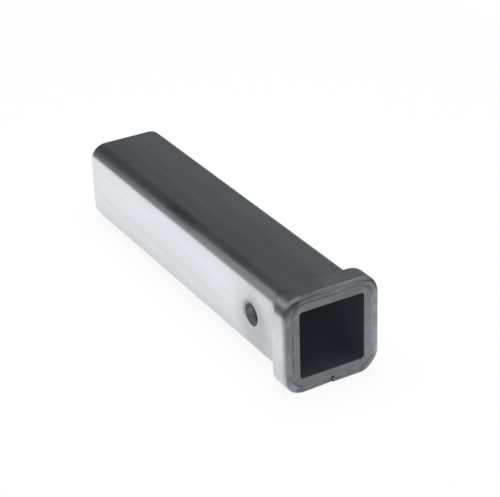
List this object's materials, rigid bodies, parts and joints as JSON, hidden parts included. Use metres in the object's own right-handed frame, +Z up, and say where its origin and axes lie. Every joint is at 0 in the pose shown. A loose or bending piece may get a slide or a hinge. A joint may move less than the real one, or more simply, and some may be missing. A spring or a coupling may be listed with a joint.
{
  "type": "receiver tube",
  "caption": "Square steel receiver tube with an open socket, a hitch pin hole through both side walls and a welded reinforcing collar round the mouth.",
  "frame": {"origin": "where the axis of the hitch pin hole crosses the axis of the tube", "axes": "+Y along the tube from the mouth to the rear end, +X along the pin hole to the right as seen from in front of the mouth, +Z up, away from the collar's seam"},
  "size_m": [0.0742, 0.3048, 0.0742],
  "materials": {
    "tube_steel": "bare drawn steel, smooth and lightly oiled, satin",
    "collar_steel": "bare rolled flat bar, satin, with sheared ends",
    "weld_metal": "bare rippled weld metal"
  },
  "bodies": {
    "root": {"receiver_tube": "tube_steel", "collar": "collar_steel", "weld_top": "weld_metal", "weld_right": "weld_metal", "weld_bottom": "weld_metal", "weld_left": "weld_metal"}
  },
  "joints": []
}
